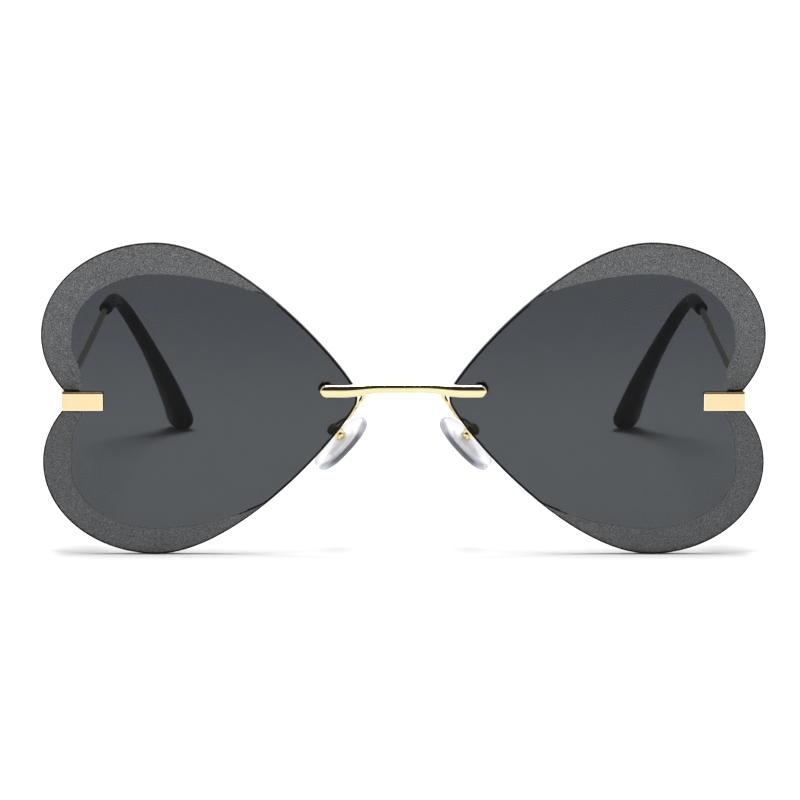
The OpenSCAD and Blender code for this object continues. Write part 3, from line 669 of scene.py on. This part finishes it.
def pad_rings():
    """Rings of the pad from its back to its face: an egg with its broad end down."""
    rings = []
    for inset, x in PAD_RINGS:
        half_w, half_l = PAD_W / 2 - PAD_T * inset, PAD_L / 2 - PAD_T * inset
        rings.append([on_pad() @ Vector((PAD_T * x,
                                         half_w * signed_power(cos(a), 0.85)
                                         * (1 - PAD_EGG * sin(a)),
                                         half_l * signed_power(sin(a), 0.92)))
                      for a in full_turn(PAD_SIDES)])
    return rings


def make_pads():
    arms, bosses, pads = arm_rings(), boss_rings(), pad_rings()
    for side, way in SIDES.items():
        arm = loft(flipped(arms, way))
        shade(arm, 50)
        make_piece(arm, "nose_arm_" + side, "root", "gold", [WIRE_GOLD], "pad_arm_" + side)
        boss = loft(flipped(bosses, way))
        shade(boss, 40)
        make_piece(boss, "arm_boss_" + side, "root", "gold", [SHADED_BOSS_GOLD])
        pad = loft(flipped(pads, way))
        shade(pad, 180)
        piece = make_piece(pad, "silicone_pad_" + side, "pad_" + side, "silicone", [SILICONE],
                           "nose_pad_" + side)
        smooth = piece.modifiers.new("moulded", "SUBSURF")
        smooth.levels = smooth.render_levels = 2
        piece.visible_shadow = False
        machined("pad_core_" + side, "pad_" + side, "clear_plastic", CLEAR, 0.06)
        machined("pad_box_" + side, "root", "gold", WIRE_GOLD, 0.1)


# ---------------------------------------------------------------- fasteners and hinges
METAL_SHARP = 40
# The roll of a plate's front edges stays below the radius of its corners, 0.4 mm
PLATE_ROLL = 0.35


def machined(node, body, slot, material, edge):
    """A machined piece: the CAD node's own shape with rolled edges."""
    bm = copied(node)
    shade(bm, METAL_SHARP)
    piece = make_piece(bm, "trim_" + node, body, slot, [material], node)
    return ease_edges(piece, edge)


def make_end_piece(side):
    """The end piece, with the front edges of its plate rolled over."""
    bm = copied("end_piece_" + side)
    front = min(vert.co.y for vert in bm.verts)
    rim = [edge for edge in bm.edges
           if all(vert.co.y - front < MM / 1000 for vert in edge.verts)
           and any(face.normal.y > -0.99 for face in edge.link_faces)]
    bmesh.ops.bevel(bm, geom=rim, offset=PLATE_ROLL * MM, offset_type="OFFSET", segments=4,
                    profile=0.5, affect="EDGES", material=-1)
    shade(bm, METAL_SHARP)
    for face in bm.faces:
        if face.normal.y < -0.9999:
            face.smooth = False
    make_piece(bm, "trim_end_piece_" + side, "root", "gold", [PLATE_GOLD], "end_piece_" + side)


def make_fasteners():
    for node, slot, material, edge in (("mount_studs", "gold", WIRE_GOLD, 0.04),
                                       ("lens_bushings", "clear_plastic", CLEAR, 0.04),
                                       ("mount_washers", "gold", WIRE_GOLD, 0.04),
                                       ("cap_nuts", "gold", WIRE_GOLD, 0.1),
                                       ("pad_screws", "gold", WIRE_GOLD, 0.05),
                                       ("hinge_screws", "gold", WIRE_GOLD, 0.07)):
        machined(node, "root", slot, material, edge)
    for side in SIDES:
        make_end_piece(side)
        machined("front_hinge_" + side, "root", "gold", WIRE_GOLD, 0.09)
        machined("temple_hinge_" + side, "temple_" + side, "gold", WIRE_GOLD, 0.08)


# ---------------------------------------------------------------- temples
WIRE_R, TEMPLE_L, SEAT_T = 0.71, 102, 0.7
TOE, PITCH, CANT, BEND, BEND_R, FLARE = 1.2, 1.5, 25.5, 63, 11, 3.1
SLEEVE_L, SLEEVE_R, SLEEVE_TURN = 10, 1.5, 3.5
TIP_W, TIP_T, TIP_ROUND = 8.2, 4.4, 3.4
TIP_TWIST, CORE_L = 46, 20
ARC_L = BEND_R * radians(BEND)
# The tip is as thick as its sleeve up to this length
EVEN_L = ARC_L * 0.6
TIP_SIDES, WIRE_SIDES = 40, 28
# Where the rounded lip of the sleeve ends, and its width there as a share of the sleeve's
LIP_END, LIP_SHARE = -SLEEVE_L + SLEEVE_R / 6, 0.86
# Middle of the front of the hinge's seat, which the wire stands behind
TEMPLE_AT = Vector((70.7656, 10.4, -0.2))


def on_temple():
    """The frame of a temple: y runs back along its wire."""
    return (Matrix.Translation(TEMPLE_AT) @ Matrix.Rotation(radians(TOE), 4, "Z")
            @ Matrix.Rotation(radians(PITCH), 4, "X"))


def on_bend():
    """The frame of the ear bend, whose sleeve turns inwards and whose drop is canted."""
    return (on_temple() @ Matrix.Translation((0, TEMPLE_L - SLEEVE_L, 0))
            @ Matrix.Rotation(radians(SLEEVE_TURN), 4, "Z")
            @ Matrix.Translation((0, SLEEVE_L, 0)) @ Matrix.Rotation(radians(CANT), 4, "Y"))


def bend_point(s):
    """The middle line at a length from the start of the bend, in the bend's frame."""
    turn, past = radians(BEND) * clamped(s / ARC_L), max(0, s - ARC_L)
    if s < 0:
        return Vector((0, s, 0))
    return Vector((FLARE * (past / (LENS_H / 2)) ** 2,
                   BEND_R * sin(turn) + past * cos(radians(BEND)),
                   -BEND_R * (1 - cos(turn)) - past * sin(radians(BEND))))


def bend_way(s):
    """The way of the middle line there, its flare left out."""
    turn = radians(BEND) * clamped(s / ARC_L)
    return Vector((0, cos(turn), -sin(turn)))


def tip_ring(s, tip_end):
    """A flattened oval that broadens and twists towards the tip's rounded end."""
    t = clamped((s - EVEN_L) / (tip_end - EVEN_L - TIP_ROUND))
    end = clamped((s - tip_end + TIP_ROUND) / TIP_ROUND)
    cap = sqrt(max(0.001, 1 - end * end))
    broad = mixed(SLEEVE_R, TIP_W / 2, t ** 1.5) * cap
    thin = mixed(SLEEVE_R, TIP_T / 2, t) * cap
    turn = radians(TIP_TWIST) * eased(t * 1.4)
    way = bend_way(s)
    up, out = Vector((0, -way.z, way.y)), Vector((1, 0, 0))
    u, v = out * sin(turn) + up * cos(turn), out * cos(turn) - up * sin(turn)
    return [on_bend() @ (bend_point(s) + u * broad * cos(a) + v * thin * sin(a))
            for a in full_turn(TIP_SIDES)]


def tip_length():
    """The length at which the tip's end stands on the floor beside the lower lobes."""
    def lowest(tip_end):
        return min(point.z for k in range(9)
                   for point in tip_ring(tip_end - TIP_ROUND * k / 8, tip_end))
    trial = ARC_L + LENS_H / 2
    fall = (on_bend().to_3x3() @ bend_way(ARC_L)).z
    return trial - (lowest(trial) + LENS_H / 2) / fall


def tip_stations(tip_end):
    lip = [-SLEEVE_L + SLEEVE_R / 6 * (1 - cos(pi / 2 * k / 4)) for k in range(5)]
    bend = [ARC_L * k / 20 for k in range(21)]
    blade = [mixed(ARC_L, tip_end - TIP_ROUND, k / 24) for k in range(1, 25)]
    end = [tip_end - TIP_ROUND * (1 - sin(pi / 2 * k / 12)) for k in range(1, 13)]
    return lip + bend + blade + end


def wire_path():
    """The wire's middle line: straight to the sleeve, then round the bend inside the tip."""
    straight = [on_temple() @ Vector((0, mixed(SEAT_T + 0.02, TEMPLE_L - SLEEVE_L, k / 12), 0))
                for k in range(13)]
    lengths = [-SLEEVE_L * (1 - k / 4) for k in range(1, 5)]
    lengths += [ARC_L * k / 16 for k in range(1, 17)]
    lengths += [ARC_L + CORE_L * k / 6 for k in range(1, 7)]
    return straight + [on_bend() @ bend_point(s) for s in lengths]


def wire_rings():
    path = wire_path()
    ways = [(b - a).normalized() for a, b in zip([path[0], *path], [*path[1:], path[-1]])]
    ways[0], ways[-1] = ways[1], ways[-2]
    return swept(path, ways, WIRE_R, WIRE_SIDES)


def tip_rings():
    """The tip's rings, drawn in at the lip where it opens for the wire."""
    tip_end = tip_length()
    rings = []
    for s in tip_stations(tip_end):
        from_lip = clamped((s + SLEEVE_L) / (LIP_END + SLEEVE_L))
        shrink = mixed(LIP_SHARE, 1, from_lip ** 0.5)
        middle = on_bend() @ bend_point(s)
        rings.append([middle + (point - middle) * shrink for point in tip_ring(s, tip_end)])
    return rings


def make_temples():
    tip, wire = tip_rings(), wire_rings()
    for side, way in SIDES.items():
        for rings, name, slot, material, node in (
                (tip, "ear_tip_", "black_plastic", BLACK, "temple_tip_"),
                (wire, "wire_", "gold", SHADED_WIRE_GOLD, "temple_wire_")):
            bm = loft(flipped(rings, way))
            shade(bm, 60)
            make_piece(bm, name + side, "temple_" + side, slot, [material], node + side)


# ---------------------------------------------------------------- studio
CAMERA_ELEVATION, CAMERA_DISTANCE, CAMERA_FOCAL = 10.7, 0.87, 188.86
CAMERA_SHIFT = -0.0042, 0.0002
FLOOR_HALF, FLOOR_DROP = 6, 0.0001
KEY_POWER, KEY_SPREAD = 3.6, 26
DIM, WHITE, BRIGHT = (0.4, 0.4, 0.4, 1), (1.3, 1.3, 1.3, 1), (2, 2, 2, 1)
DARK_FRONT = (0.03, 0.028, 0.025, 1)


def make_camera():
    data = bpy.data.cameras.new("camera")
    data.sensor_width, data.lens = 36, CAMERA_FOCAL
    data.shift_x, data.shift_y = CAMERA_SHIFT
    data.clip_start, data.clip_end = 0.05, 50
    camera = bpy.data.objects.new("camera", data)
    tilt = radians(CAMERA_ELEVATION)
    back = Vector((0, -cos(tilt), sin(tilt)))
    camera.location = ORIGIN + back * CAMERA_DISTANCE
    camera.rotation_euler = (-back).to_track_quat("-Z", "Y").to_euler()
    scene.collection.objects.link(camera)
    scene.camera = camera


def make_floor():
    bm = bmesh.new()
    bmesh.ops.create_grid(bm, x_segments=1, y_segments=1, size=FLOOR_HALF,
                          matrix=Matrix.Translation((0, 0, -FLOOR_DROP)))
    mesh = bpy.data.meshes.new("floor")
    bm.to_mesh(mesh)
    bm.free()
    floor = bpy.data.objects.new("floor", mesh)
    scene.collection.objects.link(floor)
    material, tree, shader = new_material("floor", Specular_IOR_Level=0)
    grain = add_node(tree, "Group", {"node_tree": GRAIN})
    tree.links.new(blend(tree, grain.outputs["Specks"], (0.9, 0.9, 0.9, 1),
                         (0.92, 0.92, 0.92, 1)), shader.inputs["Base Color"])
    shader.inputs["Roughness"].default_value = 1
    mesh.materials.append(material)


def make_world():
    """A white studio with a weak fill, which gloss finds dark in front and bright above."""
    world = bpy.data.worlds.new("studio")
    world.use_nodes = True
    tree = world.node_tree
    way = split(tree, add_node(tree, "TexCoord").outputs["Generated"])
    ray = add_node(tree, "LightPath").outputs
    front = remap(tree, way["Y"], -0.12, -0.3, 0, 1)
    above = remap(tree, way["Z"], 0.02, 0.12, 0, 1)
    top = remap(tree, way["Z"], 0.35, 0.75, 0, 1)
    gloss = blend(tree, calc(tree, "MULTIPLY", front, above), blend(tree, top, WHITE, BRIGHT),
                  DARK_FRONT)
    through = calc(tree, "MAXIMUM", ray["Is Glossy Ray"], ray["Is Transmission Ray"])
    shown = blend(tree, ray["Is Camera Ray"], blend(tree, through, DIM, gloss), WHITE)
    tree.links.new(shown, tree.nodes["Background"].inputs["Color"])
    scene.world = world


def make_key_light():
    """An overhead softbox, far enough away to light the whole floor evenly."""
    data = bpy.data.lights.new("overhead_key", "SUN")
    data.energy, data.angle = KEY_POWER, radians(KEY_SPREAD)
    light = bpy.data.objects.new("overhead_key", data)
    light.location = (0, 0, 1)
    scene.collection.objects.link(light)


def make_studio():
    make_camera()
    make_floor()
    make_world()
    make_key_light()
    scene.view_settings.view_transform = "Standard"


for lens_side in SIDES:
    make_lens(lens_side)
make_bridge()
make_pads()
make_fasteners()
make_temples()
make_studio()
